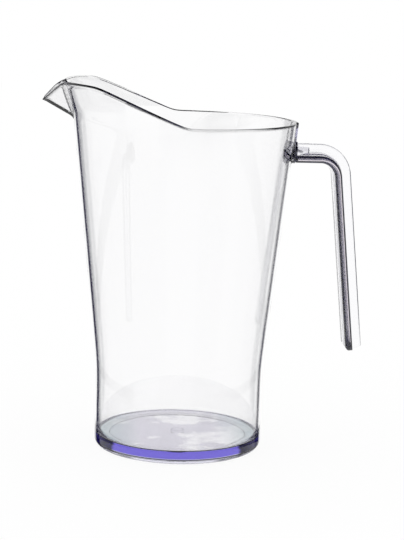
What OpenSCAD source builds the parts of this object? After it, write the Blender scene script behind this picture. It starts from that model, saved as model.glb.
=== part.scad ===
// Clear beer pitcher: a one-piece moulded jug, a separate open-ended handle
// and the headed plug that holds the handle from inside the wall.
// Millimetres, +Z up. The origin is the centre of the foot, on the table.
// The spout points along -X and the handle along +X.

/* [Jug body] */
// Outer diameter of the straight foot section
base_d = 100; // [85:1:115]
// Outer diameter of the wall at the low rim
rim_d = 131; // [120:1:145]
// Height of the low rim above the table
rim_h = 196; // [170:1:230]
// Height where the straight foot and the cone would meet
foot_h = 48; // [40:1:70]
// Radius of the soft bend between foot and cone
waist_r = 180; // [150:10:400]
// Thickness of the jug's wall
wall_t = 2; // [1.6:0.1:3]
// Height of the inside floor above the table
floor_t = 8.4; // [6:0.2:12]
// Radius of the inside corner between floor and wall
floor_r = 3; // [1:0.5:6]

/* [Underside] */
// Radius of the outer bottom edge
edge_r = 3.6; // [1:0.1:5]
// Width of the ring that the jug stands on
ring_w = 5; // [3:0.5:10]
// Depth of the hollow inside that ring
hollow_h = 1; // [0.5:0.1:2]
// Diameter of the moulding's gate mark
gate_d = 8; // [5:0.5:12]
// Depth of the gate mark
gate_h = 0.8; // [0.4:0.1:1.2]

/* [Hood and rim] */
// Lean of the hood's wall from upright, in degrees
hood_lean = 21; // [14:1:24]
// Height of the crease between cone and hood above the low rim
crease_rise = 1.6; // [1.4:0.1:3]
// Radius of the bend between cone and hood
crease_r = 10; // [4:1:12]
// Height of the hood's crest above the low rim
crest_rise = 22.4; // [18:0.2:26]
// Length of the level crest between slope and spout
crest_l = 1.4; // [0.4:0.2:8]
// Angle of the sloping rim, in degrees
slope_a = 23.1; // [20:0.1:26]
// Radius of the rim line where the slope starts
slope_r = 30; // [5:1:40]
// Radius of the rim line where the slope ends
crest_r = 44; // [20:1:50]

/* [Spout] */
// Reach of the spout's tip beyond the low rim
spout_reach = 18.8; // [15:0.1:23]
// Height of the spout's tip above the low rim
tip_rise = 10; // [8:0.2:12]
// Fall of the keel from the wall out to the tip, in degrees
keel_drop = 29; // [26:1:33]
// Fall of the lips at the tip, in degrees
lip_drop = 45; // [42:1:50]
// Radius of the curve along which the lips fall
lip_r = 16; // [10:1:20]
// Width of the spout below the corner of its lips
spout_w = 27; // [23:1:31]
// Thickness of the spout's two panels
spout_t = 1.6; // [1.4:0.1:2.4]
// Outer radius of the keel where the panels meet
keel_r = 1; // [0.6:0.1:1.6]
// Inner radius of the keel
keel_in_r = 1; // [0.6:0.1:2]

/* [Handle seat] */
// Depth of the plug's axis below the low rim
plug_drop = 17.8; // [16:0.2:26]
// Width of the flat land that the handle seats on
land_w = 14.6; // [14:0.2:20]
// Height of the land above the wall
land_h = 1; // [0.6:0.1:2]

/* [Plug] */
// Diameter of the plug's shank
plug_d = 6; // [5:0.1:6.6]
// Diameter of the plug's head, inside the jug
head_d = 13.6; // [10:0.2:18]
// Thickness of the head at its edge
head_t = 1.2; // [0.8:0.1:2]
// Rise of the head's dome above its edge
dome_h = 1.1; // [0.6:0.1:2]
// Reach of the shank into the handle
shank_l = 7.4; // [6:0.2:8]

/* [Handle] */
// Width of the flange that the fingers hold
grip_w = 21.6; // [19:0.2:24]
// Depth of the T section, from the flange's face to the web's edge
grip_depth = 10.7; // [10.4:0.1:11]
// Thickness of the flange, whose edges are half round
flange_t = 4.2; // [3.4:0.1:5]
// Thickness of the web
web_t = 2.8; // [2.6:0.1:4]
// Radius of the web's outer edges
web_edge_r = 1.2; // [0.6:0.1:1.2]
// Radius of the corner between flange and web
web_fillet_r = 1.2; // [0.6:0.1:2]
// Height of the plug's axis above the flange's face
root_rise = 5.4; // [5.4:0.1:5.8]
// Straight length from the collar to the bend
root_l = 13.8; // [12:0.2:24]
// Radius of the bend along the flange's face
bend_r = 9; // [6:0.5:16]
// Length of the straight leg below the bend
leg_l = 106; // [80:1:112]
// Lean of the leg, outwards to its end, in degrees
leg_lean = 5.8; // [3:0.2:8]
// Radius of the leg's end on the side of the jug
toe_r = 3.6; // [1:0.2:4]
// Radius of the corners at the flange's end
tongue_r = 5; // [2:0.5:8]
// Radius along which the web's end climbs outwards
heel_r = 10; // [9:0.5:20]
// Diameter of the round collar that meets the land
collar_d = 13; // [11:0.2:14]
// Thickness of that collar
collar_t = 1.5; // [1:0.1:3]
// Outer diameter of the socket for the shank
socket_d = 8.4; // [8:0.1:8.5]

/* [Fits] */
// Clearance round the shank in the jug's wall
wall_gap = 0.15; // [0.05:0.05:0.3]
// Clearance round the shank in the handle's socket
socket_gap = 0.1; // [0.05:0.05:0.2]
// Clearance past the end of the shank
shank_end_gap = 0.4; // [0.2:0.1:1]
// Clearance round the head in its seat
head_gap = 0.3; // [0.1:0.1:0.5]

/* [Hidden] */
$fn = 96;

clear_violet = [0.90, 0.90, 0.97, 0.35];
arc_steps = 8;
past = 12; // overshoot of cutters past the faces that they cut
land_set = 0.6; // depth of the land's edges inside the wall
lap = 0.2; // length by which neighbouring forms reach into each other
lap_set = 0.02; // amount by which root and leg are slimmer than the bend

base_r = base_d / 2;
rim_r = rim_d / 2;
cone_lean = atan((rim_r - base_r) / (rim_h - foot_h));

// The wall line bends twice about centres outside the jug
waist_centre = [base_r + waist_r, foot_h - waist_r * tan(cone_lean / 2)];
crease_run = crease_r * tan((hood_lean - cone_lean) / 2);
crease_at = [rim_r + crease_rise * tan(cone_lean), rim_h + crease_rise];
crease_centre = [
  crease_at[0] - crease_run * sin(cone_lean) + crease_r * cos(cone_lean),
  crease_at[1] - crease_run * cos(cone_lean) - crease_r * sin(cone_lean)
];

// Side view of the rim: low rim, slope, crest and falling lips
crest_z = rim_h + crest_rise;
tip_x = -rim_r - spout_reach;
tip_z = rim_h + tip_rise;
lip_start_x = tip_x + (crest_z - tip_z) / tan(lip_drop);
crest_end_x = lip_start_x + lip_r * tan(lip_drop / 2) + crest_l;
slope_end_x = crest_end_x + crest_r * tan(slope_a / 2);
slope_start_x = slope_end_x + crest_rise / tan(slope_a);

// The spout is a V whose keel runs from the wall out to the tip
lip_start_n = (lip_start_x - tip_x) * sin(keel_drop) + (crest_z - tip_z) * cos(keel_drop);
panel_a = atan(spout_w / 2 / lip_start_n);

// The handle seats square to the cone, at the plug's axis
plug_z = rim_h - plug_drop;
plug_x = rim_r - plug_drop * tan(cone_lean);
land_back = land_w * land_w / (8 * plug_x) + land_set;
face_x = plug_x + land_h / cos(cone_lean);

grip_z = plug_z - root_rise;
root_x = face_x + collar_t / cos(cone_lean);
bend_x = root_x + root_l;
bend_z = grip_z - bend_r;
socket_l = shank_l + shank_end_gap;
socket_wall = (socket_d - plug_d) / 2;

// Points of an arc from angle a to angle b
function arc(centre, r, a, b, steps = arc_steps) = [
  for (i = [0 : steps])
    let (t = a + (b - a) * i / steps)
      [centre[0] + r * cos(t), centre[1] + r * sin(t)]
];

// Arc of radius r that rounds the corner of a line which arrives at
// angle a and leaves at angle b
function corner(point, r, a, b) =
  let (
    turn = b - a,
    side = turn > 0 ? 1 : -1,
    run = r * tan(abs(turn) / 2),
    start = [point[0] - run * cos(a), point[1] - run * sin(a)],
    centre = [start[0] - side * r * sin(a), start[1] + side * r * cos(a)]
  )
  arc(centre, r, a - side * 90, b - side * 90);

// Wall line from the waist to above the hood, set in by a distance
function wall_line(inset) =
  let (
    hood = arc(crease_centre, crease_r + inset, 180 - cone_lean, 180 - hood_lean),
    last = hood[arc_steps],
    climb = crest_z + past - last[1]
  )
  concat(
    arc(waist_centre, waist_r + inset, 180, 180 - cone_lean),
    hood,
    [[last[0] + climb * tan(hood_lean), crest_z + past]]
  );

// Outer form of foot, cone and hood, with the hollow under the foot
module outer_form() {
  ring_in = base_r - edge_r - ring_w;
  rotate_extrude()
    polygon(concat(
      [[0, hollow_h], [ring_in - hollow_h, hollow_h], [ring_in, 0]],
      arc([base_r - edge_r, edge_r], edge_r, -90, 0),
      wall_line(0),
      [[0, crest_z + past]]
    ));
}

// The space inside, with a rounded corner round the floor
module inner_form() {
  inside_r = base_r - wall_t;
  rotate_extrude()
    polygon(concat(
      [[0, floor_t]],
      arc([inside_r - floor_r, floor_t + floor_r], floor_r, -90, 0),
      wall_line(wall_t),
      [[0, crest_z + past]]
    ));
}

// Everything above the rim line, as one cut across the jug
module rim_cut() {
  far_right = rim_r + spout_reach;
  far_left = tip_x - past;
  rotate([90, 0, 0])
    linear_extrude(2 * rim_d, center = true)
      polygon(concat(
        [[far_right, crest_z + 3 * past], [far_right, rim_h]],
        corner([slope_start_x, rim_h], slope_r, 180, 180 - slope_a),
        corner([slope_end_x, crest_z], crest_r, 180 - slope_a, 180),
        corner([lip_start_x, crest_z], lip_r, 180, 180 + lip_drop),
        [[far_left, tip_z - past * tan(lip_drop)], [far_left, crest_z + 3 * past]]
      ));
}

// V section of the spout with a rounded keel, set in by a distance
module spout_section(inset, r) {
  top_n = 2 * lip_start_n;
  vertex_n = inset / sin(panel_a);
  centre_n = vertex_n + r / sin(panel_a);
  top_y = (top_n - vertex_n) * tan(panel_a);
  polygon(concat(
    [[-top_y, top_n]],
    arc([0, centre_n], r, 180 + panel_a, 360 - panel_a),
    [[top_y, top_n]]
  ));
}

// The V carried along the keel from past the tip to inside the wall
module spout_form(inset, r) {
  run = (spout_reach + 4 * wall_t) / cos(keel_drop);
  translate([tip_x, 0, tip_z])
    rotate([0, keel_drop, 0])
      rotate([90, 0, 90])
        translate([0, 0, -past])
          linear_extrude(run + past)
            spout_section(inset, r);
}

// Places its children on the wall at the plug: +Z out of the jug, +Y up
module at_plug() {
  translate([plug_x, 0, plug_z])
    rotate([0, cone_lean, 0])
      rotate([90, 0, 90])
        children();
}

// Flat land from below the plug up to the rim
module handle_land() {
  at_plug()
    translate([0, 0, -land_back])
      linear_extrude(land_back + land_h) {
        circle(d = land_w);
        translate([-land_w / 2, 0])
          square([land_w, plug_drop + past]);
      }
}

// Hole for the shank, with a flat seat for the head inside the wall
module plug_hole() {
  at_plug() {
    translate([0, 0, -wall_t - past])
      cylinder(d = plug_d + 2 * wall_gap, h = wall_t + 2 * past);
    translate([0, 0, -wall_t - past])
      cylinder(d = head_d + 2 * head_gap, h = past);
  }
}

module jug_body() {
  color(clear_violet)
    difference() {
      union() {
        outer_form();
        handle_land();
        spout_form(0, keel_r);
      }
      inner_form();
      spout_form(spout_t, keel_in_r);
      rim_cut();
      plug_hole();
      translate([0, 0, -past])
        cylinder(d = gate_d, h = past + hollow_h + gate_h);
    }
}

// The same points on the other side, in the opposite order
function mirrored(points) = [
  for (i = [len(points) - 1 : -1 : 0]) [-points[i][0], points[i][1]]
];

// T section: the flange's face lies along y = 0, the web points to +Y
module grip_section(inset = 0) {
  flange_r = flange_t / 2;
  half = concat(
    arc([grip_w / 2 - flange_r, flange_r], flange_r - inset, -90, 90, 2 * arc_steps),
    arc(
      [web_t / 2 + web_fillet_r, flange_t + web_fillet_r],
      web_fillet_r + inset, 270, 180
    ),
    arc([web_t / 2 - web_edge_r, grip_depth - web_edge_r], web_edge_r - inset, 0, 90)
  );
  polygon(concat(half, mirrored(half)));
}

// Side view of what is cut from the leg's end, on the side of the jug
module toe_outline() {
  polygon(concat(
    [[-past, leg_l - toe_r]],
    arc([toe_r, leg_l - toe_r], toe_r, 180, 90),
    [[toe_r, leg_l + past], [-past, leg_l + past]]
  ));
}

// Side view of what is cut from the web's end
module heel_outline() {
  start = flange_t + web_fillet_r;
  end_y = grip_depth + lap;
  end_a = acos((end_y - start) / heel_r);
  polygon(concat(
    arc([start, leg_l - heel_r], heel_r, 90, end_a),
    [[end_y, leg_l + past], [start, leg_l + past]]
  ));
}

// Front view of what is cut from one corner of the flange's end
module tongue_outline() {
  start = grip_w / 2 - tongue_r;
  end_x = grip_w / 2 + past;
  polygon(concat(
    arc([start, leg_l - tongue_r], tongue_r, 90, 0),
    [[end_x, leg_l - tongue_r], [end_x, leg_l + past], [start, leg_l + past]]
  ));
}

// Straight leg with its rounded end
module leg() {
  difference() {
    translate([0, 0, -lap])
      linear_extrude(lap + leg_l)
        grip_section(lap_set);
    translate([-grip_w, 0, 0])
      rotate([90, 0, 90])
        linear_extrude(2 * grip_w) {
          toe_outline();
          heel_outline();
        }
    for (side = [-1, 1])
      translate([0, flange_t + lap, 0])
        rotate([90, 0, 0])
          linear_extrude(flange_t + 2 * lap)
            scale([side, 1])
              tongue_outline();
  }
}

// Straight root, bend and leg, along the flange's face
module grip() {
  start_x = plug_x - past;
  translate([start_x, 0, grip_z])
    rotate([90, 0, 90])
      linear_extrude(bend_x + lap - start_x)
        grip_section(lap_set);
  translate([bend_x, 0, bend_z])
    rotate([-90, -90, 0])
      rotate_extrude(angle = 90 - leg_lean)
        translate([bend_r, 0])
          rotate(-90)
            grip_section();
  translate([bend_x, 0, bend_z])
    rotate([0, 90 - leg_lean, 0])
      rotate([90, 0, 90])
        translate([0, bend_r, 0])
          leg();
}

module handle() {
  color(clear_violet)
    difference() {
      union() {
        difference() {
          grip();
          at_plug()
            translate([-grip_w, -grip_w, land_h + collar_t - 2 * past])
              cube([2 * grip_w, 2 * grip_w, 2 * past]);
        }
        at_plug()
          translate([0, 0, land_h]) {
            cylinder(d = collar_d, h = collar_t + lap);
            cylinder(d = socket_d, h = socket_l + socket_wall);
          }
      }
      at_plug()
        translate([0, 0, land_h - past])
          cylinder(d = plug_d + 2 * socket_gap, h = past + socket_l);
    }
}

// Headed plug: dome inside the jug, shank through the wall into the handle
module handle_plug() {
  head_r = head_d / 2;
  dome_r = (head_r * head_r + dome_h * dome_h) / (2 * dome_h);
  half_a = asin(head_r / dome_r);
  seat = -wall_t;
  tip = land_h + shank_l;
  lead = 0.6;
  color(clear_violet)
    at_plug()
      rotate_extrude()
        polygon(concat(
          arc([0, seat - head_t - dome_h + dome_r], dome_r, -90, -90 + half_a),
          [
            [head_r, seat],
            [plug_d / 2, seat],
            [plug_d / 2, tip - lead],
            [plug_d / 2 - lead, tip],
            [0, tip]
          ]
        ));
}

jug_body();
handle();
handle_plug();
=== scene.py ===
"""Looks of a clear beer pitcher: a moulded jug, its T-section handle and the plug that holds it."""

import math

import bmesh
import bpy
from bpy.props import FloatProperty, FloatVectorProperty, PointerProperty
from mathutils import Matrix, Vector


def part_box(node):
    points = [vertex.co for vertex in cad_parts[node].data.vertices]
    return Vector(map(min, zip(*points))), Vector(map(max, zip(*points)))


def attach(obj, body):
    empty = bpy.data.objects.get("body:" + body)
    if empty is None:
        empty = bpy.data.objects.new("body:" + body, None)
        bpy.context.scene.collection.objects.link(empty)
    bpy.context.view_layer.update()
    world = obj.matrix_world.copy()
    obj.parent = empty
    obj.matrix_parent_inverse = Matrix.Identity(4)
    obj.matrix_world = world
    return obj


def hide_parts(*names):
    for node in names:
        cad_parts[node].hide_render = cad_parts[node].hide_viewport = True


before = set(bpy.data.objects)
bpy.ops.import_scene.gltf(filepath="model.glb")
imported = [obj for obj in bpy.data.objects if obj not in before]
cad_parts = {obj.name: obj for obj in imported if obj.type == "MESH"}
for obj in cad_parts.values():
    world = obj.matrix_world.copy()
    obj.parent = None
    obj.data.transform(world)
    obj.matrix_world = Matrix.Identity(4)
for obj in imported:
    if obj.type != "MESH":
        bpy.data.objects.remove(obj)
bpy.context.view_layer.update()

bl_info = {
    "name": "Clear Pitcher",
    "version": (1, 0, 0),
    "blender": (4, 5, 0),
    "location": "View3D > Sidebar > Pitcher",
    "description": "Builds a clear moulded pitcher with a T-section handle",
    "category": "Add Mesh",
}

MM = 0.001
BODY = "root"
JUG_LOW, JUG_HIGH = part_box("jug_body")

WALL_COLUMNS = 400
COLUMN_CROWDING = 0.72
RIM_SHADE = "rim_shade"
SHARP_ANGLE = math.radians(38)
MERGE_DISTANCE = 0.002 * MM

CLEAR = (1.0, 1.0, 1.0)
WHITE = (1.0, 1.0, 1.0, 1.0)
DARK = (0.0, 0.0, 0.02, 1.0)
FLOOR_GLOW = 0.92
LEAST_BLUE = 0.03
CLEAR_BOUNCES = 32
MIRROR_BOUNCES = 16

# Where the set changes by height: the Z of a direction, or its size, where a change starts and ends
FOOT_FROM = (0.258, 0.261)
FOOT_TO = (0.285, 0.282)
RISING = (0.08, 0.12)
FROM_ABOVE = (-0.29, -0.3)
BELOW = (-0.6, -0.75)
OVERHEAD = (0.35, 0.45)

# Brightness of the set by bearing in degrees, 0 along +Y, right positive
SEEN_THROUGH = (
    (-180, 0.9), (-116, 0.9), (-112, 0.0), (-101, 0.0), (-97, 1.0), (-83, 1.0), (-79, 0.0),
    (-20, 0.0), (-15, 1.0), (27, 1.0), (31, 0.15), (42, 0.15), (47, 0.0), (112, 0.0),
    (117, 1.0), (153, 1.0), (158, 0.9),
)
SEEN_FROM_ABOVE = (
    (-180, 0.85), (-116, 0.75), (-96, 0.2), (-64, 0.0), (-60, 1.0), (-30, 1.0), (-27, 0.0),
    (-20, 0.0), (-15, 1.0), (27, 1.0), (32, 0.1), (110, 0.0), (116, 1.0), (154, 1.0), (165, 0.85),
)
SEEN_AT_FOOT = (
    (-180, 0.5), (-160, 0.5), (-150, 0.0), (-37, 0.0), (-34, 1.0), (44, 1.0), (47, 0.0),
    (112, 0.0), (117, 1.0), (153, 1.0), (158, 0.5),
)
MIRRORED = (
    (-180, 0.9), (-84, 0.85), (-55, 0.8), (-42, 0.7), (-37, 0.0), (-22, 0.0), (-18, 1.0),
    (26, 1.0), (30, 0.3), (42, 0.3), (48, 0.7), (63, 0.8), (92, 0.85), (180, 0.9),
)
MIRRORED_INSIDE = (
    (-180, 0.92), (-41, 0.92), (-37, 0.0), (-20, 0.0), (-16, 1.0), (26, 1.0), (30, 0.0), (38, 0.0),
    (42, 0.92), (180, 0.92),
)
MIRRORED_AT_FOOT = (
    (-180, 0.7), (-110, 0.5), (-100, 0.25), (-40, 0.25), (-36, 0.0), (-22, 0.0), (-18, 1.0),
    (24, 1.0), (28, 0.0), (44, 0.0), (48, 0.25), (100, 0.25), (110, 0.5), (180, 0.7),
)


def length(name, description, default):
    """A size in metres that a user may change."""
    return FloatProperty(
        name=name,
        description=description,
        default=default,
        precision=5,
        subtype="DISTANCE",
        unit="LENGTH",
    )


def angle(name, description, degrees):
    """An angle that a user may change."""
    return FloatProperty(
        name=name,
        description=description,
        default=math.radians(degrees),
        subtype="ANGLE",
        unit="ROTATION",
    )


def number(name, description, default, **limits):
    """A plain number that a user may change."""
    return FloatProperty(name=name, description=description, default=default, **limits)


def colour(name, description, default):
    """A colour that a user may change."""
    return FloatVectorProperty(
        name=name,
        description=description,
        default=default,
        size=3,
        min=0.0,
        max=1.0,
        subtype="COLOR",
    )


class PITCHER_PG_jug(bpy.types.PropertyGroup):
    """Sizes of the moulded jug."""

    foot_r: length("Foot radius", "Outer radius of the straight foot", 50 * MM)
    rim_r: length("Rim radius", "Outer radius of the wall at the low rim", JUG_HIGH.y)
    rim_h: length("Low rim", "Height of the low rim above the table", 196.4 * MM)
    foot_h: length("Foot height", "Height where the foot turns into the cone", 48 * MM)
    waist_soft: length("Waist softness", "Length of the soft bend above the foot", 8 * MM)
    wall_t: length("Wall", "Thickness of the wall", 2 * MM)
    floor_t: length("Floor", "Height of the inside floor", 8.4 * MM)
    floor_r: length("Floor corner", "Radius between floor and wall", 0.9 * MM)
    edge_r: length("Bottom edge", "Radius of the outer bottom edge", 3.6 * MM)
    ring_w: length("Standing ring", "Width of the ring that it stands on", 5 * MM)
    hollow_h: length("Hollow", "Depth of the hollow under the foot", 0.5 * MM)
    gate_r: length("Gate mark", "Radius of the moulding's gate mark", 4 * MM)
    gate_h: length("Gate depth", "Depth of the gate mark", 0.8 * MM)
    rim_edge: length("Rim edge", "Radius of the rim's two edges", 0.9 * MM)
    hood_lean: angle("Hood lean", "Lean of the hood's wall from upright", 21)
    crease_rise: length("Crease", "Height of the crease above the low rim", 1.6 * MM)
    crease_soft: length("Crease softness", "Length of the bend at the crease", 1.4 * MM)
    crest_z: length("Crest", "Height of the hood's crest above the table", JUG_HIGH.z)
    slope_x: length("Slope foot", "Place along X where the rim starts to climb", -2.67 * MM)
    slope_a: angle("Slope", "Angle of the sloping rim", 23.1)
    slope_soft: length("Slope softness", "Length of the bend at the slope's foot", 3.2 * MM)
    crest_soft: length("Crest softness", "Height of the bend below the crest", 2 * MM)


class PITCHER_PG_spout(bpy.types.PropertyGroup):
    """Sizes of the V-shaped spout."""

    tip_x: length("Tip reach", "Distance of the sharp tip from the jug's axis", 84.3 * MM)
    tip_z: length("Tip height", "Height of the tip above the table", 206 * MM)
    keel_drop: angle("Keel", "Fall of the keel from the tip to the wall", 29)
    panel_a: angle("Panel", "Angle between each panel and the mirror plane", 40)
    panel_t: length("Panel thickness", "Thickness of the two panels", 1.6 * MM)
    lip_drop: angle("Lip", "Fall of the lips at the tip", 45)
    lip_r: length("Lip curve", "Radius of the curve of the lips", 16 * MM)
    keel_r: length("Keel radius", "Outer radius of the keel", 1 * MM)
    keel_in_r: length("Inner keel radius", "Inner radius of the keel", 1 * MM)
    fillet: length("Panel fillet", "Reach of the bend between panel and hood", 2.2 * MM)


class PITCHER_PG_handle(bpy.types.PropertyGroup):
    """Sizes of the handle, its seat on the wall and its plug."""

    plug_z: length("Plug height", "Height of the plug's axis on the wall", 178.2 * MM)
    land_w: length("Land width", "Width of the land that the handle seats on", 14.6 * MM)
    land_h: length("Land height", "Height of the land above the wall", 1 * MM)
    land_soft: length("Land edge", "Softness of the land's edge", 0.6 * MM)
    plug_r: length("Shank", "Radius of the plug's shank", 3 * MM)
    head_r: length("Head", "Radius of the plug's head", 6.8 * MM)
    head_t: length("Head edge", "Thickness of the head at its edge", 1.2 * MM)
    dome_h: length("Dome", "Rise of the head's dome", 1.1 * MM)
    shank_l: length("Shank length", "Reach of the shank past the land", 7.4 * MM)
    grip_w: length("Flange width", "Width of the flange that the fingers hold", 21.6 * MM)
    grip_depth: length("Section depth", "Depth from the flange's face to the web's edge", 10.7 * MM)
    flange_t: length("Flange", "Thickness of the flange, whose edges are half round", 4.2 * MM)
    web_t: length("Web", "Thickness of the web", 2.8 * MM)
    web_edge_r: length("Web edge", "Radius of the web's outer edges", 1.2 * MM)
    web_fillet_r: length("Web corner", "Radius between flange and web", 1.2 * MM)
    root_rise: length("Root rise", "Height of the plug's axis above the flange's face", 5.4 * MM)
    root_l: length("Root", "Straight length from collar to bend", 13.8 * MM)
    root_t: length("Root end", "Length of the root's slanting end", 2.4 * MM)
    bend_r: length("Bend", "Radius of the bend along the flange's face", 9 * MM)
    leg_l: length("Leg", "Length of the straight leg", 106 * MM)
    leg_lean: angle("Lean", "Lean of the leg outwards to its end", 5.8)
    toe_r: length("Toe", "Radius of the leg's end on the side of the jug", 3.6 * MM)
    tongue_r: length("Tongue", "Radius of the corners at the flange's end", 5 * MM)
    heel_r: length("Heel", "Radius along which the web's end climbs", 10 * MM)
    collar_r: length("Collar", "Radius of the round collar", 6.5 * MM)
    collar_t: length("Collar thickness", "Thickness of the collar", 1.5 * MM)
    socket_r: length("Socket", "Outer radius of the socket", 4.2 * MM)
    wall_gap: length("Hole gap", "Clearance round the shank in the wall", 0.15 * MM)
    film: length("Seat film", "Thin film of air between seated faces", 0.03 * MM)


class PITCHER_PG_tint_and_paint(bpy.types.PropertyGroup):
    """Tint of the clear plastic, and the light and shade painted onto it."""

    tint: colour("Tint", "Colour that thick plastic turns to", (0.12, 0.08, 0.6))
    # Painted light: the violet of light carried through the thick foot, laid on the foot's side as colour.
    foot: colour("Foot", "Colour of the thick foot seen from its side", (0.042, 0.026, 0.55))
    density: number("Tint density", "Strength of the tint per metre of plastic", 2.5, min=0.0)
    # Painted shade: near-black laid on the foot's two lines, the rim's outer edge, the spout's creases,
    # the flange's edges, the strips on the leg and the collar.
    edge: colour("Edge", "Colour of the thick edges of handle and rim", (0.002, 0.002, 0.006))
    # A pale line left down the middle of the painted shade on the flange's edges.
    grip_core: colour("Grip core", "Colour down the middle of the handle's edges", (0.95, 0.9, 0.88))
    # Painted shade: a dark ring on the inside floor over the edge of the gate mark below.
    gate: colour("Gate", "Colour of the ring round the gate mark", (0.14, 0.12, 0.2))
    # Painted shade: dark violet laid on the clear plug's head.
    plug: colour("Plug", "Colour of the plug's head", (0.05, 0.035, 0.12))
    # Painted light and shade on the inside floor: a grey-violet shade, paler clouds of painted reflection
    # and a teal cast of painted light towards spout and handle.
    bottom: colour("Floor", "Colour of the thick floor seen from above", (0.38, 0.36, 0.46))
    painted_floor_reflection: colour("Floor clouds", "Colour of the floor's paler clouds", (0.8, 0.79, 0.82))
    painted_floor_ends: colour("Floor ends", "Colour of the floor towards spout and handle", (0.22, 0.32, 0.36))
    grip_density: number("Grip density", "Strength of the tint per metre in handle and plug", 8.0, min=0.0)
    ior: number("IOR", "Refractive index of polycarbonate", 1.585, min=1.0, max=2.0)


class PITCHER_PG_stage(bpy.types.PropertyGroup):
    """Camera and surroundings."""

    distance: length("Distance", "Level distance of the camera from the axis", 1021.4 * MM)
    azimuth: angle("Azimuth", "Direction of the camera round the jug", -4.05)
    height: length("Height", "Height of the camera above the table", 285.5 * MM)
    heading: angle("Heading", "Turn of the view to the right", 4.739)
    pitch: angle("Pitch", "Tilt of the view, up being positive", -9.933)
    roll: angle("Roll", "Turn of the picture about the view", 1.608)
    lens: number("Lens", "Focal length on a 36 mm picture", 115.85, min=1.0, unit="CAMERA")
    floor_size: length("Floor", "Side of the pale floor", 6.0)
    white: colour("White", "Colour of floor and surroundings", (1.0, 1.0, 1.0))


# Outlines

def line(bm, start, *places):
    """Draws straight edges from a vertex through the places and returns the last vertex."""
    for place in places:
        start = bmesh.ops.extrude_vert_indiv(bm, verts=[start])["verts"][0]
        start.co = place
    return start


def parts_of(geom, kind):
    """The members of one kind in what an operator returns."""
    return [item for item in geom if isinstance(item, kind)]


def spin(bm, geom, centre, axis, turn, steps, merge=False):
    """Turns geometry round an axis in steps and returns the last step's."""
    made = bmesh.ops.spin(
        bm,
        geom=geom,
        cent=centre,
        axis=axis,
        dvec=(0, 0, 0),
        angle=turn,
        steps=steps,
        use_merge=merge,
        use_normal_flip=False,
        use_duplicate=False,
    )
    return made["geom_last"]


def arc(bm, start, centre, turn, steps, axis):
    """Draws an arc from a vertex and returns its last vertex."""
    return parts_of(spin(bm, [start], centre, axis, turn, steps), bmesh.types.BMVert)[0]


def turn_round(bm, steps):
    """Turns the whole outline once round the Z axis into a closed surface."""
    spin(bm, bm.verts[:] + bm.edges[:], (0, 0, 0), (0, 0, 1), math.tau, steps, merge=True)
    bmesh.ops.remove_doubles(bm, verts=bm.verts, dist=MERGE_DISTANCE)


def spread(low, high, step):
    """Even places from low to high, about a step apart, without low itself."""
    count = max(1, round((high - low) / step))
    return [low + (high - low) * (i + 1) / count for i in range(count)]


def soft_ramp(x, width):
    """A ramp that is 0 below zero and x above it, with a soft bend between."""
    return (x + math.sqrt(x * x + width * width)) / 2


def soft_step(x, width):
    """1 well below zero, 0 well above it."""
    t = min(max(0.5 - x / (2 * width), 0.0), 1.0)
    return t * t * (3 - 2 * t)


def soft_max(a, b, reach):
    """The larger of two, with a bend where they are nearer than a reach."""
    near = max(reach - abs(a - b), 0.0) / reach
    return max(a, b) + near * near * reach / 4


# Finished pieces

def smooth_faces(bm):
    """Shades all faces smooth and keeps the edges of sharp corners."""
    for face in bm.faces:
        face.smooth = True
    for edge in bm.edges:
        edge.smooth = edge.is_manifold and edge.calc_face_angle() < SHARP_ANGLE


def make_piece(bm, name):
    """Turns a bmesh into an object at the origin, with its faces pointing outwards."""
    bmesh.ops.remove_doubles(bm, verts=bm.verts, dist=MERGE_DISTANCE)
    bmesh.ops.recalc_face_normals(bm, faces=bm.faces)
    smooth_faces(bm)
    mesh = bpy.data.meshes.new(name)
    bm.to_mesh(mesh)
    bm.free()
    piece = bpy.data.objects.new(name, mesh)
    bpy.context.scene.collection.objects.link(piece)
    return piece


def combine(piece, bm, operation):
    """Joins a shape to a piece or cuts it out, and leaves a plain mesh."""
    other = make_piece(bm, "combined_shape")
    change = piece.modifiers.new("combine", "BOOLEAN")
    change.object = other
    change.operation = operation
    change.solver = "MANIFOLD"
    graph = bpy.context.evaluated_depsgraph_get()
    mesh = bpy.data.meshes.new_from_object(piece.evaluated_get(graph))
    old = piece.data
    piece.modifiers.clear()
    piece.data = mesh
    mesh.name = piece.name
    bpy.data.meshes.remove(old)
    bpy.data.meshes.remove(other.data)
    tidy = bmesh.new()
    tidy.from_mesh(mesh)
    smooth_faces(tidy)
    tidy.to_mesh(mesh)
    tidy.free()


def seat(piece, node, material):
    """Gives a piece its material and its place in the frame, in the stead of a node."""
    piece.data.materials.clear()
    piece.data.materials.append(material)
    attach(piece, BODY)
    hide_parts(node)


# Shape of the jug

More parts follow.
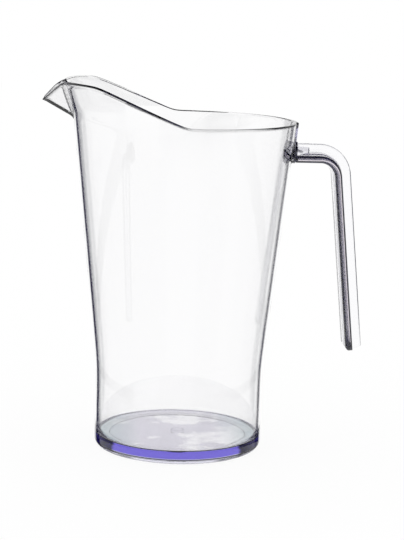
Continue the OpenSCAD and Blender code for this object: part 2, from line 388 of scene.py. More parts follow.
class JugForm:
    """Works out the places of the jug's walls from its sizes."""

    def __init__(self, jug, spout, handle):
        self.jug = jug
        self.spout = spout
        self.handle = handle
        self.cone = (jug.rim_r - jug.foot_r) / (jug.rim_h - jug.foot_h)
        self.lean = math.atan(self.cone)
        self.hood = math.tan(jug.hood_lean) - self.cone
        self.plug_x = jug.rim_r - (jug.rim_h - handle.plug_z) * self.cone
        self.plan = math.sin(spout.keel_drop) * math.tan(spout.panel_a)
        self.lip_in_x = self.lip_curve_start()

    def lip_curve_start(self):
        """Place along X where the lips leave the level crest."""
        s = self.spout
        corner = -s.tip_x + (self.jug.crest_z - s.tip_z) / math.tan(s.lip_drop)
        return corner + s.lip_r * math.tan(s.lip_drop / 2)

    def wall_r(self, z):
        """Outer radius of foot, cone and hood at a height."""
        jug = self.jug
        waist = soft_ramp(z - jug.foot_h, jug.waist_soft)
        crease = soft_ramp(z - jug.rim_h - jug.crease_rise, jug.crease_soft)
        return jug.foot_r + self.cone * waist + self.hood * crease

    def inner_wall_r(self, z):
        """Inner radius of foot, cone and hood at a height."""
        step = 1 * MM
        slope = (self.wall_r(z + step) - self.wall_r(z - step)) / (2 * step)
        return self.wall_r(z) - self.jug.wall_t * math.hypot(1, slope)

    def rim_z(self, x):
        """Height of the rim line at a place along X."""
        jug = self.jug
        rise = jug.crest_z - jug.rim_h
        climb = math.tan(jug.slope_a) * soft_ramp(jug.slope_x - x, jug.slope_soft)
        line_z = jug.crest_z - soft_ramp(rise - climb, jug.crest_soft)
        return line_z - self.lip_fall(self.lip_in_x - x)

    def lip_fall(self, past):
        """Fall of the lips at a distance past the start of their curve."""
        s = self.spout
        if past <= 0:
            return 0.0
        curve = s.lip_r * math.sin(s.lip_drop)
        if past < curve:
            return s.lip_r - math.sqrt(s.lip_r ** 2 - past ** 2)
        return s.lip_r * (1 - math.cos(s.lip_drop)) + (past - curve) * math.tan(s.lip_drop)

    def spout_r(self, turn, z, inset, keel_r):
        """Distance of the V's surface from the jug's axis, or 0 behind the axis."""
        s = self.spout
        if math.cos(turn) <= 0:
            return 0.0
        set_in = inset / (math.sin(s.panel_a) * math.sin(s.keel_drop))
        keel_x = s.tip_x + (z - s.tip_z) / math.tan(s.keel_drop) - set_in
        if keel_x <= 0:
            return 0.0
        blunt = keel_r * (1 / math.sin(s.panel_a) - 1) / math.sin(s.keel_drop)
        round_off = self.plan * blunt / (keel_x - blunt) if keel_x > 2 * blunt else 1.0
        across = math.hypot(math.sin(turn), round_off)
        return self.plan * keel_x / (across + self.plan * math.cos(turn))

    def land_r(self, turn, z):
        """Distance of the handle's land from the axis and how much it counts there."""
        h = self.handle
        side = math.pi - abs(turn)
        if side > math.pi / 4:
            return 0.0, 0.0
        above = z - h.plug_z
        out = (h.land_h + above * math.sin(self.lean)) / math.cos(self.lean)
        radius = (self.plug_x + out) / math.cos(side)
        across = radius * math.sin(side)
        edge = math.hypot(across, min(above, 0.0)) - h.land_w / 2
        return radius, soft_step(edge, h.land_soft)

    def outer_r(self, turn, z):
        """Outer radius of the jug in a direction from the spout, at a height."""
        wall = self.wall_r(z)
        land, share = self.land_r(turn, z)
        wall += share * max(land - wall, 0.0)
        panel = self.spout_r(turn, z, 0.0, self.spout.keel_r)
        return soft_max(wall, panel, self.spout.fillet)

    def inner_r(self, turn, z):
        """Inner radius of the jug in a direction from the spout, at a height."""
        s = self.spout
        panel = self.spout_r(turn, z, s.panel_t, s.keel_in_r)
        return soft_max(self.inner_wall_r(z), panel, s.fillet)

    def top_z(self, turn, radius):
        """Height at which a wall meets the rim line in a direction."""
        low = self.jug.rim_h - 10 * MM
        high = self.jug.crest_z + 10 * MM
        for _ in range(40):
            middle = (low + high) / 2
            x = -radius(turn, middle) * math.cos(turn)
            if middle < self.rim_z(x):
                low = middle
            else:
                high = middle
        return (low + high) / 2

    def plug_matrix(self):
        """Places a shape on the wall at the plug: +Z out of the jug, +Y up along it."""
        up = Vector((math.sin(self.lean), 0, math.cos(self.lean)))
        out = Vector((math.cos(self.lean), 0, -math.sin(self.lean)))
        turned = Matrix((up.cross(out), up, out)).transposed().to_4x4()
        return Matrix.Translation((self.plug_x, 0, self.handle.plug_z)) @ turned


def jug_form(scene):
    """The jug's form from the scene's settings."""
    return JugForm(scene.pitcher_jug, scene.pitcher_spout, scene.pitcher_handle)


def draw_jug_outline(bm, jug, bend_z):
    """Half section of a plain jug, from the underside's centre to the floor's centre."""
    front = (0, -1, 0)
    ring_in = jug.foot_r - jug.edge_r - jug.ring_w
    gate_z = jug.hollow_h + jug.gate_h
    inside = jug.foot_r - jug.wall_t
    inner_low = jug.floor_t + jug.floor_r
    top_rows = spread(bend_z, jug.rim_h, 0.95 * MM)
    rows = spread(jug.edge_r, bend_z, 4 * MM) + top_rows
    inner_rows = spread(inner_low, bend_z, 4 * MM) + top_rows
    start = bm.verts.new((0, 0, gate_z))
    end = line(
        bm,
        start,
        (jug.gate_r - jug.gate_h / 2, 0, gate_z),
        (jug.gate_r, 0, jug.hollow_h),
        (ring_in / 2, 0, jug.hollow_h),
        (ring_in - jug.hollow_h, 0, jug.hollow_h),
        (ring_in, 0, 0),
        (jug.foot_r - jug.edge_r, 0, 0),
    )
    end = arc(bm, end, (jug.foot_r - jug.edge_r, 0, jug.edge_r), math.pi / 2, 10, front)
    end = line(bm, end, *[(jug.foot_r, 0, z) for z in rows])
    end = line(bm, end, *[(inside, 0, z) for z in reversed(inner_rows)])
    end = line(bm, end, (inside, 0, inner_low))
    end = arc(bm, end, (inside - jug.floor_r, 0, inner_low), math.pi / 2, 10, (0, 1, 0))
    line(bm, end, *[(inside * share, 0, jug.floor_t) for share in (0.7, 0.4, 0.15, 0.0)])


def crowd_columns(turn):
    """Moves an even angle from the spout towards spout and handle, where detail lies."""
    return turn - COLUMN_CROWDING * math.sin(2 * turn) / 2


def shape_jug(bm, form, bend_z):
    """Moves the plain jug's walls out to cone, hood, rim line, land and spout."""
    jug = form.jug
    inside = jug.foot_r - jug.wall_t
    near = 0.01 * MM
    tops = {}
    for v in bm.verts:
        plain_r = math.hypot(v.co.x, v.co.y)
        if plain_r < near:
            continue
        turn = crowd_columns(math.atan2(v.co.y, -v.co.x))
        z = v.co.z
        radius = None
        if abs(plain_r - jug.foot_r) < near and z > jug.edge_r - near:
            radius = form.outer_r
        elif abs(plain_r - inside) < near and z > jug.floor_t + jug.floor_r - near:
            radius = form.inner_r
        if radius is not None:
            if z > bend_z:
                key = (radius.__name__, round(turn, 6))
                if key not in tops:
                    tops[key] = form.top_z(turn, radius)
                z = bend_z + (z - bend_z) * (tops[key] - bend_z) / (jug.rim_h - bend_z)
            plain_r = radius(turn, z)
        v.co = (-plain_r * math.cos(turn), plain_r * math.sin(turn), z)


def rim_edges(bm, jug):
    """The two edge loops of the plain jug's rim."""
    near = 0.01 * MM
    found = []
    for edge in bm.edges:
        a, b = edge.verts
        level = min(a.co.z, b.co.z) > jug.rim_h - near
        if level and abs(a.co.xy.length - b.co.xy.length) < near:
            found.append(edge)
    return found


def disc(radius, low, high, edge, segments=96):
    """A round disc along Z with rounded rims, as a bmesh."""
    bm = bmesh.new()
    start = bm.verts.new((0, 0, low))
    front = (0, -1, 0)
    end = line(bm, start, (radius - edge, 0, low))
    end = arc(bm, end, (radius - edge, 0, low + edge), math.pi / 2, 5, front)
    end = line(bm, end, (radius, 0, high - edge))
    end = arc(bm, end, (radius - edge, 0, high - edge), math.pi / 2, 5, front)
    line(bm, end, (0, 0, high))
    turn_round(bm, segments)
    return bm


class PITCHER_OT_jug(bpy.types.Operator):
    """Build the clear jug with its sloping rim and V-shaped spout"""

    bl_idname = "pitcher.jug"
    bl_label = "Jug"

    def execute(self, context):
        form = jug_form(context.scene)
        jug = form.jug
        handle = form.handle
        bend_z = handle.plug_z - 0.75 * handle.land_w
        bm = bmesh.new()
        draw_jug_outline(bm, jug, bend_z)
        turn_round(bm, WALL_COLUMNS)
        edges = rim_edges(bm, jug)
        shape_jug(bm, form, bend_z)
        bmesh.ops.bevel(
            bm,
            geom=edges,
            offset=jug.rim_edge,
            offset_type="OFFSET",
            affect="EDGES",
            segments=6,
            profile=0.5,
            material=-1,
        )
        piece = make_piece(bm, "moulded_jug")
        past = 8 * MM
        hole = disc(handle.plug_r + handle.wall_gap, -past, past, 0.1 * MM, 64)
        seat_r = handle.head_r + 2 * handle.wall_gap
        recess = disc(seat_r, -jug.wall_t - past, -jug.wall_t, 0.1 * MM)
        for cutter in (hole, recess):
            bmesh.ops.transform(cutter, matrix=form.plug_matrix(), verts=cutter.verts)
            combine(piece, cutter, "DIFFERENCE")
        self.shade_rim(piece.data, form)
        density = context.scene.pitcher_finish.density
        look = clear_plastic("clear_jug", context.scene, paint_jug_light_and_shade, density, wave_scale=55.0, haze=0.012)
        seat(piece, "jug_body", look)
        return {"FINISHED"}

    def shade_rim(self, mesh, form):
        """Marks painted shade on the outer edge of the rim, less so where it is level, and on the spout's
        two creases.
        """
        jug = form.jug
        lowest = jug.rim_h - 5 * MM
        rim_depth = 1.3 * MM
        dark_from_x = 0.62 * jug.rim_r
        level_loss = 0.6
        crease_in = 0.3 * MM
        crease_half = 0.6 * MM
        crease_shade = 0.9
        shade = mesh.attributes.new(RIM_SHADE, "FLOAT", "POINT")
        for v in mesh.vertices:
            x, y, z = v.co
            if z < lowest:
                continue
            turn = math.atan2(y, -x)
            middle = (form.outer_r(turn, z) + form.inner_r(turn, z)) / 2
            if math.hypot(x, y) < middle:
                continue
            if form.rim_z(x) - z < rim_depth:
                level = soft_step(jug.slope_x - x, 4 * MM) * soft_step(x - dark_from_x, 9 * MM)
                shade.data[v.index].value = 1.0 - level_loss * level
            else:
                panel = form.spout_r(turn, z, 0.0, form.spout.keel_r)
                off_crease = abs(form.wall_r(z) - panel - crease_in)
                shade.data[v.index].value = crease_shade * soft_step(off_crease - crease_half, 0.4 * MM)


# Shape of the handle

def draw_grip_section(bm, h, x, z):
    """Closed T outline in the plane at x, its flange's face at z and its web up; returns its edges."""
    away = (1, 0, 0)
    half = h.grip_w / 2 - h.flange_t / 2
    middle = z + h.flange_t / 2
    web = h.web_t / 2
    fillet = h.web_fillet_r
    edge = h.web_edge_r
    flange_top = z + h.flange_t
    top = z + h.grip_depth
    start = bm.verts.new((x, half, z))
    end = arc(bm, start, (x, half, middle), math.pi, 20, away)
    end = line(bm, end, (x, web + fillet, flange_top))
    end = arc(bm, end, (x, web + fillet, flange_top + fillet), -math.pi / 2, 6, away)
    end = line(bm, end, (x, web, top - edge))
    end = arc(bm, end, (x, web - edge, top - edge), math.pi / 2, 8, away)
    end = line(bm, end, (x, edge - web, top))
    end = arc(bm, end, (x, edge - web, top - edge), math.pi / 2, 8, away)
    end = line(bm, end, (x, -web, flange_top + fillet))
    end = arc(bm, end, (x, -web - fillet, flange_top + fillet), -math.pi / 2, 6, away)
    end = line(bm, end, (x, -half, flange_top))
    end = arc(bm, end, (x, -half, middle), math.pi, 20, away)
    line(bm, end, (x, half, z))
    bmesh.ops.remove_doubles(bm, verts=bm.verts, dist=MERGE_DISTANCE)
    return bm.edges[:]


def verts_of(ring):
    """The vertices of a ring of edges, each once."""
    return list(dict.fromkeys(v for edge in ring for v in edge.verts))


def push(bm, ring, step):
    """Extrudes a ring of edges by a step and returns the new ring."""
    made = bmesh.ops.extrude_edge_only(bm, edges=ring)["geom"]
    verts = parts_of(made, bmesh.types.BMVert)
    bmesh.ops.translate(bm, verts=verts, vec=step)
    fresh = set(verts)
    edges = parts_of(made, bmesh.types.BMEdge)
    return [e for e in edges if e.verts[0] in fresh and e.verts[1] in fresh]


def fill_prism(bm, across):
    """Fills the closed outline of a bmesh and carries it across into a prism."""
    bmesh.ops.remove_doubles(bm, verts=bm.verts, dist=MERGE_DISTANCE)
    faces = bmesh.ops.contextual_create(bm, geom=bm.edges)["faces"]
    made = bmesh.ops.extrude_face_region(bm, geom=faces)["geom"]
    bmesh.ops.translate(bm, verts=parts_of(made, bmesh.types.BMVert), vec=across)
    return bm


def toe_cutter(h, past):
    """What rounds the leg's end towards the jug; the leg's end lies at the origin, X outwards."""
    bm = bmesh.new()
    start = bm.verts.new((-past, -past, h.toe_r))
    end = line(bm, start, (0, -past, h.toe_r))
    end = arc(bm, end, (h.toe_r, -past, h.toe_r), math.pi / 2, 10, (0, -1, 0))
    line(bm, end, (h.toe_r, -past, -past), (-past, -past, -past), start.co)
    return fill_prism(bm, (0, 2 * past, 0))


def heel_cutter(h, past):
    """What lets the web's end climb outwards."""
    first = h.flange_t + h.web_fillet_r
    last = h.grip_depth + 0.2 * MM
    bm = bmesh.new()
    start = bm.verts.new((first, -past, 0))
    end = arc(bm, start, (first, -past, h.heel_r), math.asin((last - first) / h.heel_r), 8, (0, -1, 0))
    line(bm, end, (last, -past, -past), (first, -past, -past), start.co)
    return fill_prism(bm, (0, 2 * past, 0))


def tongue_cutter(h, past, side):
    """What rounds one corner of the flange's end."""
    first = h.grip_w / 2 - h.tongue_r
    last = h.grip_w / 2 + past
    low = -0.2 * MM
    bm = bmesh.new()
    start = bm.verts.new((low, side * first, 0))
    end = arc(bm, start, (low, side * first, h.tongue_r), math.pi / 2, 10, (side, 0, 0))
    end = line(bm, end, (low, side * last, h.tongue_r), (low, side * last, -past))
    line(bm, end, (low, side * first, -past), start.co)
    return fill_prism(bm, (h.flange_t + 0.4 * MM, 0, 0))


class PITCHER_OT_handle(bpy.types.Operator):
    """Build the open-ended T-section handle with its collar and socket"""

    bl_idname = "pitcher.handle"
    bl_label = "Handle"

    def execute(self, context):
        form = jug_form(context.scene)
        h = form.handle
        face_z = h.plug_z - h.root_rise
        root_x = form.plug_x + (h.land_h + h.collar_t) / math.cos(form.lean)
        bend = Vector((root_x + h.root_l, 0, face_z - h.bend_r))
        bm = bmesh.new()
        first = draw_grip_section(bm, h, root_x + h.root_t, face_z)
        ring = push(bm, first, Vector((h.root_l - h.root_t, 0, 0)))
        turned = spin(bm, verts_of(ring) + ring, bend, (0, 1, 0), math.pi / 2 - h.leg_lean, 30)
        ring = parts_of(turned, bmesh.types.BMEdge)
        up = Vector((-math.sin(h.leg_lean), 0, math.cos(h.leg_lean)))
        out = Vector((math.cos(h.leg_lean), 0, math.sin(h.leg_lean)))
        rows = 8
        for _ in range(rows):
            ring = push(bm, ring, -up * h.leg_l / rows)
        bmesh.ops.contextual_create(bm, geom=ring)
        self.close_root(bm, form, first)
        piece = make_piece(bm, "flanged_handle")
        along_leg = Matrix((out, Vector((0, 1, 0)), up)).transposed().to_4x4()
        leg_end = Matrix.Translation(bend + out * h.bend_r - up * h.leg_l) @ along_leg
        self.round_end(piece, h, leg_end)
        self.join_collar(piece, form)
        density = context.scene.pitcher_finish.grip_density
        look = clear_plastic(
            "clear_handle", context.scene, paint_handle_shade, density, wave_scale=90.0, haze=0.02
        )
        seat(piece, "handle", look)
        return {"FINISHED"}

    def close_root(self, bm, form, first):
        """Carries the section's first ring to the collar's slanting face and closes it."""
        h = form.handle
        ring = push(bm, first, Vector((0, 0, 0)))
        for v in verts_of(ring):
            above = v.co.z - h.plug_z
            out = h.land_h + h.collar_t + above * math.sin(form.lean)
            v.co.x = form.plug_x + out / math.cos(form.lean)
        bmesh.ops.contextual_create(bm, geom=ring)

    def round_end(self, piece, h, leg_end):
        """Rounds the lower end of the leg."""
        past = 12 * MM
        corners = (tongue_cutter(h, past, -1), tongue_cutter(h, past, 1))
        for cutter in (toe_cutter(h, past), heel_cutter(h, past), *corners):
            bmesh.ops.transform(cutter, matrix=leg_end, verts=cutter.verts)
            combine(piece, cutter, "DIFFERENCE")

    def join_collar(self, piece, form):
        """Joins collar and socket to the root; the bonded shank and its socket are one clear body."""
        h = form.handle
        overlap = 0.2 * MM
        end_room = 0.4 * MM
        low = h.land_h + h.film
        boss_end = h.land_h + h.shank_l + end_room + h.socket_r - h.plug_r
        collar = disc(h.collar_r, low, h.land_h + h.collar_t + overlap, 0.3 * MM)
        boss = disc(h.socket_r, low + 0.5 * h.collar_t, boss_end, 0.4 * MM)
        for shape in (collar, boss):
            bmesh.ops.transform(shape, matrix=form.plug_matrix(), verts=shape.verts)
            combine(piece, shape, "UNION")


class PITCHER_OT_plug(bpy.types.Operator):
    """Build the headed plug that holds the handle"""

    bl_idname = "pitcher.plug"
    bl_label = "Plug"

    def execute(self, context):
        form = jug_form(context.scene)
        h = form.handle
        front = (0, -1, 0)
        dome_r = (h.head_r ** 2 + h.dome_h ** 2) / (2 * h.dome_h)
        seat_z = -form.jug.wall_t - h.film
        edge_z = seat_z - h.head_t
        tip = h.land_h
        lead = 0.1 * MM
        head_edge = 0.3 * MM
        bm = bmesh.new()
        start = bm.verts.new((0, 0, edge_z - h.dome_h))
        centre = (0, 0, edge_z - h.dome_h + dome_r)
        end = arc(bm, start, centre, math.asin((h.head_r - head_edge) / dome_r), 16, front)
        line(
            bm,
            end,
            (h.head_r, 0, edge_z + head_edge),
            (h.head_r, 0, seat_z),
            (h.plug_r, 0, seat_z),
            (h.plug_r, 0, tip - lead),
            (h.plug_r - lead, 0, tip),
            (0, 0, tip),
        )
        turn_round(bm, 96)
        bmesh.ops.transform(bm, matrix=form.plug_matrix(), verts=bm.verts)
        piece = make_piece(bm, "headed_plug")
        density = context.scene.pitcher_finish.grip_density
        look = clear_plastic("clear_plug", context.scene, paint_plug_shade, density, wave_scale=120.0, haze=0.02)
        seat(piece, "handle_plug", look)
        return {"FINISHED"}


# Materials

def calculate(tree, operation, *values):
    """Adds a sum on outputs or numbers to a node tree and returns its output."""
    node = tree.nodes.new("ShaderNodeMath")
    node.operation = operation
    for socket, value in zip(node.inputs, values):
        if isinstance(value, float):
            socket.default_value = value
        else:
            tree.links.new(value, socket)
    return node.outputs["Value"]


def fade(tree, value, start, end):
    """Adds a factor that goes from 0 to 1 as a value goes from start to end."""
    node = tree.nodes.new("ShaderNodeMapRange")
    node.inputs["From Min"].default_value = start
    node.inputs["From Max"].default_value = end
    tree.links.new(value, node.inputs["Value"])
    return node.outputs["Result"]


def blend(tree, first, second, factor):
    """Mixes two layers, each an output or a plain colour, by a factor."""
    node = tree.nodes.new("ShaderNodeMixRGB")
    for socket, layer in (("Color1", first), ("Color2", second)):
        if isinstance(layer, bpy.types.NodeSocket):
            tree.links.new(layer, node.inputs[socket])
        else:
            node.inputs[socket].default_value = layer
    tree.links.new(factor, node.inputs["Fac"])
    return node.outputs["Color"]


def soft_noise(tree, places, scale, detail):
    """Adds noise over places and returns its output."""
    node = tree.nodes.new("ShaderNodeTexNoise")
    node.inputs["Detail"].default_value = detail
    if isinstance(scale, float):
        node.inputs["Scale"].default_value = scale
    else:
        tree.links.new(scale, node.inputs["Scale"])
    tree.links.new(places, node.inputs["Vector"])
    return node.outputs["Fac"]


def new_group(name, inputs, outputs):
    """A shader node group with its sockets, and its input's and output's nodes."""
    group = bpy.data.node_groups.new(name, "ShaderNodeTree")
    for way, sockets in (("INPUT", inputs), ("OUTPUT", outputs)):
        for socket, kind in sockets:
            group.interface.new_socket(name=socket, in_out=way, socket_type=kind)
    return group, group.nodes.new("NodeGroupInput"), group.nodes.new("NodeGroupOutput")


def moulded_surface():
    """Node group: slight waviness and haze of a moulded, handled surface."""
    name = "moulded_surface"
    if name in bpy.data.node_groups:
        return bpy.data.node_groups[name]
    group, entry, leave = new_group(
        name,
        (("Vector", "NodeSocketVector"), ("Wave Scale", "NodeSocketFloat"), ("Haze", "NodeSocketFloat")),
        (("Roughness", "NodeSocketFloat"), ("Height", "NodeSocketFloat")),
    )
    places = entry.outputs["Vector"]
    wave = soft_noise(group, places, entry.outputs["Wave Scale"], 1.0)
    group.links.new(wave, leave.inputs["Height"])
    haze = calculate(group, "MULTIPLY", soft_noise(group, places, 30.0, 4.0), entry.outputs["Haze"])
    group.links.new(haze, leave.inputs["Roughness"])
    return group


class LightPainter:
    """Adds nodes that paint light and shade onto a clear surface by place."""

    def __init__(self, tree):
        self.tree = tree
        self.places = tree.nodes.new("ShaderNodeTexCoord").outputs["Object"]
        self.split = tree.nodes.new("ShaderNodeSeparateXYZ")
        tree.links.new(self.places, self.split.inputs["Vector"])
        geometry = tree.nodes.new("ShaderNodeNewGeometry")
        self.outside = self.mask(geometry.outputs["Backfacing"], 1.0, 0.0)

    def place(self, axis):
        """The place along an axis."""
        return self.split.outputs[axis]

    def reach(self, axis):
        """The distance from the jug's middle along an axis."""
        return calculate(self.tree, "ABSOLUTE", self.place(axis))

    def radius(self):
        """The distance from the jug's axis."""
        level = self.tree.nodes.new("ShaderNodeCombineXYZ")
        self.tree.links.new(self.place("X"), level.inputs["X"])
        self.tree.links.new(self.place("Y"), level.inputs["Y"])
        away = self.tree.nodes.new("ShaderNodeVectorMath")
        away.operation = "LENGTH"
        self.tree.links.new(level.outputs["Vector"], away.inputs[0])
        return away.outputs["Value"]

    def clouds(self, scale):
        """Soft clouds."""
        return soft_noise(self.tree, self.places, scale, 3.0)

    def mask(self, value, start, end):
        """Factor that goes from 0 to 1 as a value goes from start to end."""
        return fade(self.tree, value, start, end)

    def band(self, value, low, high, soft):
        """Factor that is 1 between two values and fades out past them."""
        return self.both(self.mask(value, low - soft, low), self.mask(value, high + soft, high))

    def both(self, *factors):
        """Product of factors."""
        product = factors[0]
        for factor in factors[1:]:
            product = calculate(self.tree, "MULTIPLY", product, factor)
        return product

    def tint(self, under, colour, factor):
        """Lays a colour over another by a factor."""
        layers = []
        for layer in (under, colour):
            layers.append(layer if isinstance(layer, bpy.types.NodeSocket) else (*layer, 1.0))
        return blend(self.tree, *layers, factor)


def paint_floor_light_and_shade(painter, jug, tint_and_paint, radius):
    """Painted light and shade on the floor: pale clouds of painted reflection, a teal cast of painted
    light at the ends and a ring of painted shade round the gate mark.
    """
    pale = painter.mask(painter.clouds(scale=45.0), 0.52, 0.64)
    colour = painter.tint(tint_and_paint.bottom, tint_and_paint.painted_floor_reflection, pale)
    colour = painter.tint(colour, tint_and_paint.painted_floor_ends, painter.mask(painter.reach("X"), 22 * MM, 46 * MM))
    gate = painter.band(radius, jug.gate_r - 0.7 * MM, jug.gate_r - 0.1 * MM, 0.4 * MM)
    return painter.tint(colour, tint_and_paint.gate, gate)


def paint_jug_light_and_shade(painter, scene):
    """Painted light and shade: cloudy floor, violet of light through the foot between two lines of painted
    shade, and painted shade on the outer rim and the spout's creases.
    """
    jug = scene.pitcher_jug
    tint_and_paint = scene.pitcher_finish
    inside = jug.foot_r - jug.wall_t
    low = jug.edge_r
    high = jug.floor_t
    radius = painter.radius()
    height = painter.place("Z")
    on_floor = painter.both(
        painter.band(height, high - 0.1 * MM, high + 0.1 * MM, 0.3 * MM),
        painter.mask(radius, inside, inside - jug.floor_r),
    )
    on_side = painter.both(
        painter.mask(radius, jug.foot_r - 1.2 * MM, jug.foot_r - 0.6 * MM),
        painter.outside,
    )
    painted_foot_violet = painter.both(painter.band(height, low + 0.2 * MM, high - 0.2 * MM, 0.4 * MM), on_side)
    upper_shade_line = painter.both(painter.band(height, high, high + 0.5 * MM, 0.2 * MM), on_side)
    lower_shade_line = painter.both(
        painter.band(height, low - 0.8 * MM, low - 0.2 * MM, 0.2 * MM),
        painter.outside,
    )
    rim = painter.tree.nodes.new("ShaderNodeAttribute")
    rim.attribute_name = RIM_SHADE
    rim_shade_mask = painter.both(rim.outputs["Fac"], painter.outside)
    colour = painter.tint(CLEAR, paint_floor_light_and_shade(painter, jug, tint_and_paint, radius), on_floor)
    # Painted light: the violet of light carried through the thick foot.
    colour = painter.tint(colour, tint_and_paint.foot, painted_foot_violet)
    # Painted shade: the foot's two dark lines, the rim's outer edge and the spout's creases.
    for dark in (upper_shade_line, lower_shade_line, rim_shade_mask):
        colour = painter.tint(colour, tint_and_paint.edge, dark)
    return colour


def paint_handle_shade(painter, scene):
    """Painted shade on the flange edges with a pale line left down their middle, painted shade in strips
    on the leg and on the collar.
    """
    handle = scene.pitcher_handle
    tint_and_paint = scene.pitcher_finish
    form = jug_form(scene)
    reach = painter.reach("Y")
    half = handle.grip_w / 2
    start = half - handle.flange_t / 2
    leg_top = 150 * MM
    strip_w = 1.4 * MM
    core_w = 0.1 * MM
    on_leg = painter.mask(painter.place("Z"), leg_top + 2 * MM, leg_top - 2 * MM)
    strip = painter.both(painter.mask(reach, start - strip_w - 0.4 * MM, start - strip_w), on_leg)
    core = painter.mask(reach, half - core_w - 0.12 * MM, half - core_w)
    collar_end = form.plug_x + (handle.land_h + handle.collar_t) / math.cos(form.lean)
    collar = painter.mask(painter.place("X"), collar_end + 0.5 * MM, collar_end)
    # Painted shade on the flange edges, the strips on the leg and the collar, with a pale line left down
    # the edges' middle.
    colour = painter.tint(CLEAR, tint_and_paint.edge, painter.mask(reach, start - 0.3 * MM, start))
    colour = painter.tint(colour, tint_and_paint.edge, strip)
    colour = painter.tint(colour, tint_and_paint.grip_core, core)
    return painter.tint(colour, tint_and_paint.edge, collar)


def paint_plug_shade(painter, scene):
    """Painted shade: a dark violet head with darker clouds."""
    tint_and_paint = scene.pitcher_finish
    return painter.tint(tint_and_paint.plug, tint_and_paint.edge, painter.mask(painter.clouds(scale=160.0), 0.45, 0.65))


def clear_plastic(name, scene, painter, density, wave_scale, haze):
    """Clear polycarbonate with a faint tint in its depth and light and shade painted on by place."""
    tint_and_paint = scene.pitcher_finish
    material = bpy.data.materials.new(name)
    material.use_nodes = True
    tree = material.node_tree
    nodes, links = tree.nodes, tree.links
    shader = nodes["Principled BSDF"]
    shader.inputs["Transmission Weight"].default_value = 1.0
    shader.inputs["IOR"].default_value = tint_and_paint.ior
    places = nodes.new("ShaderNodeTexCoord")
    surface = nodes.new("ShaderNodeGroup")
    surface.node_tree = moulded_surface()
    surface.inputs["Wave Scale"].default_value = wave_scale
    surface.inputs["Haze"].default_value = haze
    links.new(places.outputs["Object"], surface.inputs["Vector"])
    links.new(surface.outputs["Roughness"], shader.inputs["Roughness"])
    bump = nodes.new("ShaderNodeBump")
    bump.inputs["Strength"].default_value = 0.04
    bump.inputs["Distance"].default_value = 0.5 * MM
    links.new(surface.outputs["Height"], bump.inputs["Height"])
    links.new(bump.outputs["Normal"], shader.inputs["Normal"])
    links.new(painter(LightPainter(tree), scene), shader.inputs["Base Color"])
    depth = nodes.new("ShaderNodeVolumeAbsorption")
    depth.inputs["Color"].default_value = (*tint_and_paint.tint, 1.0)
    depth.inputs["Density"].default_value = density
    links.new(depth.outputs["Volume"], nodes["Material Output"].inputs["Volume"])
    return material


# Camera and surroundings

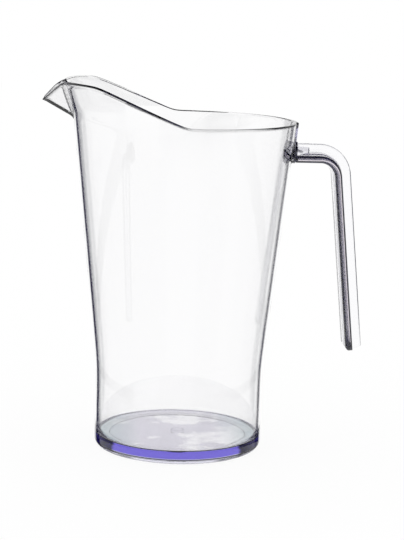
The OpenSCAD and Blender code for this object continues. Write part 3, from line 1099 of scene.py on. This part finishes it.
class PITCHER_OT_stage(bpy.types.Operator):
    """Set the camera, the pale floor and the soft white surroundings"""

    bl_idname = "pitcher.stage"
    bl_label = "Stage"

    def execute(self, context):
        scene = context.scene
        stage = scene.pitcher_stage
        scene.view_settings.view_transform = "Standard"
        scene.cycles.max_bounces = CLEAR_BOUNCES
        scene.cycles.transmission_bounces = CLEAR_BOUNCES
        scene.cycles.glossy_bounces = MIRROR_BOUNCES
        self.set_camera(scene, stage)
        self.lay_floor(stage)
        self.light_world(scene, stage)
        return {"FINISHED"}

    def set_camera(self, scene, stage):
        """Puts the camera where the photograph was taken from."""
        data = bpy.data.cameras.new("camera")
        data.lens = stage.lens
        data.sensor_width = 36.0
        camera = bpy.data.objects.new("camera", data)
        scene.collection.objects.link(camera)
        heading = Matrix.Rotation(-stage.heading, 4, "Z")
        pitch = Matrix.Rotation(math.pi / 2 + stage.pitch, 4, "X")
        roll = Matrix.Rotation(stage.roll, 4, "Z")
        place = Vector((
            stage.distance * math.sin(stage.azimuth),
            -stage.distance * math.cos(stage.azimuth),
            stage.height,
        ))
        camera.matrix_world = Matrix.Translation(place) @ heading @ pitch @ roll
        scene.camera = camera

    def lay_floor(self, stage):
        """A plain pale floor under the foot."""
        bm = bmesh.new()
        bmesh.ops.create_grid(bm, x_segments=1, y_segments=1, size=stage.floor_size / 2)
        bmesh.ops.translate(bm, verts=bm.verts, vec=(0, 0, -0.05 * MM))
        floor = make_piece(bm, "pale_floor")
        material = bpy.data.materials.new("pale_floor")
        material.use_nodes = True
        tree = material.node_tree
        nodes, links = tree.nodes, tree.links
        shader = nodes["Principled BSDF"]
        shader.inputs["Base Color"].default_value = (*stage.white, 1.0)
        shader.inputs["Roughness"].default_value = 1.0
        shader.inputs["Specular IOR Level"].default_value = 0.0
        path = nodes.new("ShaderNodeLightPath")
        rays = (path.outputs["Is Glossy Ray"], path.outputs["Is Transmission Ray"])
        through = calculate(tree, "MAXIMUM", *rays)
        glow = nodes.new("ShaderNodeEmission")
        glow.inputs["Color"].default_value = (*stage.white, 1.0)
        lit = nodes.new("ShaderNodeMixShader")
        lit.inputs["Fac"].default_value = FLOOR_GLOW
        links.new(shader.outputs["BSDF"], lit.inputs[1])
        links.new(glow.outputs["Emission"], lit.inputs[2])
        clear = nodes.new("ShaderNodeBsdfTransparent")
        mix = nodes.new("ShaderNodeMixShader")
        links.new(through, mix.inputs["Fac"])
        links.new(lit.outputs["Shader"], mix.inputs[1])
        links.new(clear.outputs["BSDF"], mix.inputs[2])
        links.new(mix.outputs["Shader"], nodes["Material Output"].inputs["Surface"])
        floor.data.materials.append(material)

    def light_world(self, scene, stage):
        """White all round, with dark flags between that only clear things show."""
        world = bpy.data.worlds.new("white_studio")
        world.use_nodes = True
        world.cycles.sampling_method = "NONE"
        scene.world = world
        tree = world.node_tree
        nodes, links = tree.nodes, tree.links
        places = nodes.new("ShaderNodeTexCoord")
        path = nodes.new("ShaderNodeLightPath")
        round_set = nodes.new("ShaderNodeGroup")
        round_set.node_tree = studio_surround()
        links.new(places.outputs["Generated"], round_set.inputs["Vector"])
        links.new(path.outputs["Is Transmission Ray"], round_set.inputs["Seen Through"])
        for socket, count in (("Mirrored Once", 1.0), ("Mirrored Twice", 2.0)):
            same = calculate(tree, "COMPARE", path.outputs["Glossy Depth"], count, 0.5)
            links.new(same, round_set.inputs[socket])
        rays = (path.outputs["Is Camera Ray"], path.outputs["Is Diffuse Ray"])
        plain = calculate(tree, "MAXIMUM", *rays)
        shown = blend(tree, round_set.outputs["Color"], (*stage.white, 1.0), plain)
        links.new(shown, nodes["Background"].inputs["Color"])


def bearing_ramp(nodes, stops):
    """Colour ramp over a whole turn, from bearings in degrees and grey levels."""
    node = nodes.new("ShaderNodeValToRGB")
    marks = node.color_ramp.elements
    while len(marks) < len(stops):
        marks.new(1.0)
    for mark, (degrees, level) in zip(marks, stops):
        mark.position = degrees / 360 + 0.5
        mark.color = (level, level, max(level, LEAST_BLUE), 1.0)
    return node


def studio_surround():
    """Node group: how bright the set is round the pitcher, with dark flags between white panels."""
    name = "studio_surround"
    if name in bpy.data.node_groups:
        return bpy.data.node_groups[name]
    rays = [(socket, "NodeSocketFloat") for socket in ("Seen Through", "Mirrored Once", "Mirrored Twice")]
    group, entry, leave = new_group(
        name,
        (("Vector", "NodeSocketVector"), *rays),
        (("Color", "NodeSocketColor"),),
    )
    nodes, links = group.nodes, group.links
    parts = nodes.new("ShaderNodeSeparateXYZ")
    links.new(entry.outputs["Vector"], parts.inputs["Vector"])
    bearing = calculate(group, "ARCTAN2", parts.outputs["X"], parts.outputs["Y"])
    turn_share = fade(group, bearing, -math.pi, math.pi)
    steepness = calculate(group, "ABSOLUTE", parts.outputs["Z"])
    once = entry.outputs["Mirrored Once"]
    twice = entry.outputs["Mirrored Twice"]

    def ring(stops):
        """Brightness by bearing."""
        node = bearing_ramp(nodes, stops)
        links.new(turn_share, node.inputs["Fac"])
        return node.outputs["Color"]

    def height(span):
        """Factor that goes from 0 to 1 as the direction's height goes along a span."""
        return fade(group, parts.outputs["Z"], *span)

    steep = (fade(group, steepness, *FOOT_FROM), fade(group, steepness, *FOOT_TO))
    at_foot = calculate(group, "MULTIPLY", *steep)
    rising = height(RISING)
    from_wall = calculate(group, "MULTIPLY", once, calculate(group, "SUBTRACT", 1.0, rising))
    in_base = calculate(group, "MAXIMUM", calculate(group, "MAXIMUM", at_foot, rising), twice)
    through = blend(group, ring(SEEN_THROUGH), ring(SEEN_FROM_ABOVE), height(FROM_ABOVE))
    through = blend(group, through, ring(SEEN_AT_FOOT), in_base)
    through = blend(group, through, ring(MIRRORED_INSIDE), from_wall)
    mirrored = blend(group, ring(MIRRORED), ring(MIRRORED_AT_FOOT), at_foot)
    shown = blend(group, mirrored, through, entry.outputs["Seen Through"])
    shown = blend(group, shown, WHITE, height(BELOW))
    shown = blend(group, shown, DARK, height(OVERHEAD))
    links.new(shown, leave.inputs["Color"])
    return group


class PITCHER_PT_panel(bpy.types.Panel):
    """Lists the pitcher's pieces and their sizes"""

    bl_label = "Pitcher"
    bl_space_type = "VIEW_3D"
    bl_region_type = "UI"
    bl_category = "Pitcher"

    def draw(self, context):
        for operator in STEPS:
            self.layout.operator(operator.bl_idname)
        for settings, group in SETTINGS.items():
            self.layout.label(text=group.__doc__)
            for name in group.__annotations__:
                self.layout.prop(getattr(context.scene, settings), name)


SETTINGS = {
    "pitcher_jug": PITCHER_PG_jug,
    "pitcher_spout": PITCHER_PG_spout,
    "pitcher_handle": PITCHER_PG_handle,
    "pitcher_finish": PITCHER_PG_tint_and_paint,
    "pitcher_stage": PITCHER_PG_stage,
}
STEPS = (PITCHER_OT_stage, PITCHER_OT_jug, PITCHER_OT_handle, PITCHER_OT_plug)


def register():
    for name, group in SETTINGS.items():
        bpy.utils.register_class(group)
        setattr(bpy.types.Scene, name, PointerProperty(type=group))
    for operator in STEPS:
        bpy.utils.register_class(operator)
    bpy.utils.register_class(PITCHER_PT_panel)


def unregister():
    bpy.utils.unregister_class(PITCHER_PT_panel)
    for operator in reversed(STEPS):
        bpy.utils.unregister_class(operator)
    for name, group in reversed(SETTINGS.items()):
        delattr(bpy.types.Scene, name)
        bpy.utils.unregister_class(group)


def main():
    register()
    bpy.ops.pitcher.stage()
    bpy.ops.pitcher.jug()
    bpy.ops.pitcher.handle()
    bpy.ops.pitcher.plug()


if __name__ == "__main__":
    main()
